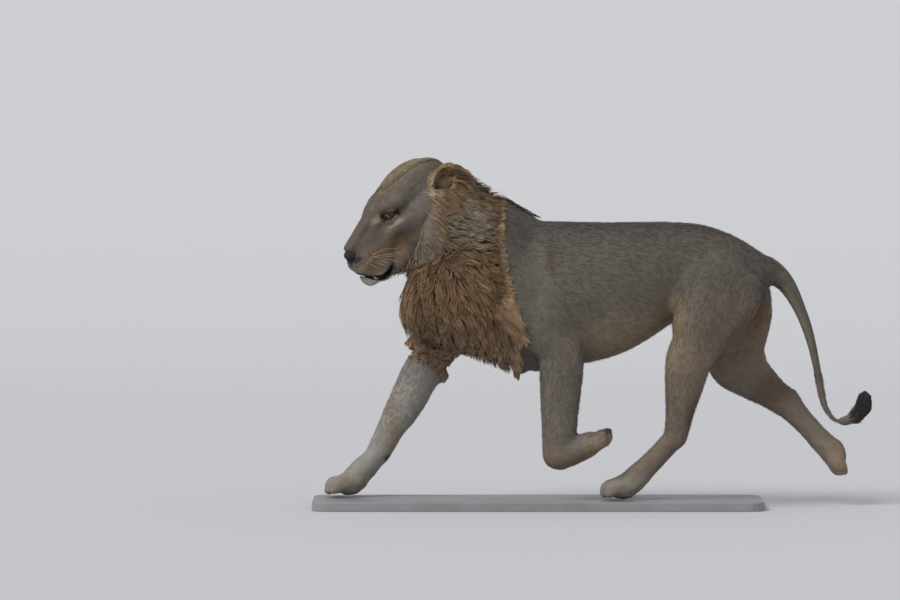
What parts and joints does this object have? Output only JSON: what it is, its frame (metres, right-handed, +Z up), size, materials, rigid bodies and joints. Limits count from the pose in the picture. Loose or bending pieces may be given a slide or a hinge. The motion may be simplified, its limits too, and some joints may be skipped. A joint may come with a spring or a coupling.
{
  "type": "lion",
  "caption": "Young male lion in a fast trot with a short sandy mane and a black tail tuft, a still life-size museum model on a plain flat base.",
  "frame": {"origin": "on the floor, under the middle of the whole model's bounding box", "axes": "+Z up; the lion faces -X and its left side is on -Y"},
  "size_m": [1.8644, 0.46, 1.1718],
  "materials": {
    "coat": "short grey-brown fur",
    "face_coat": "very short tawny fur",
    "mane": "long sandy hair",
    "tuft": "black hair",
    "paw_coat": "pale short fur",
    "eye": "amber, wet gloss",
    "nose_leather": "dark, moist",
    "tooth": "ivory",
    "stand": "plain matt"
  },
  "bodies": {
    "root": {"head": "face_coat", "neck": "mane", "trunk": "coat", "tail": "coat", "tail_tuft": "tuft", "leg_fore_left": "coat", "leg_fore_right": "coat", "leg_hind_left": "coat", "leg_hind_right": "coat", "paw_fore_left": "paw_coat", "paw_fore_right": "paw_coat", "paw_hind_left": "paw_coat", "paw_hind_right": "paw_coat", "ear_left": "coat", "ear_right": "coat", "eye_left": "eye", "eye_right": "eye", "nose": "nose_leather", "canine_left": "tooth", "canine_right": "tooth", "stand_base": "stand"}
  },
  "joints": []
}
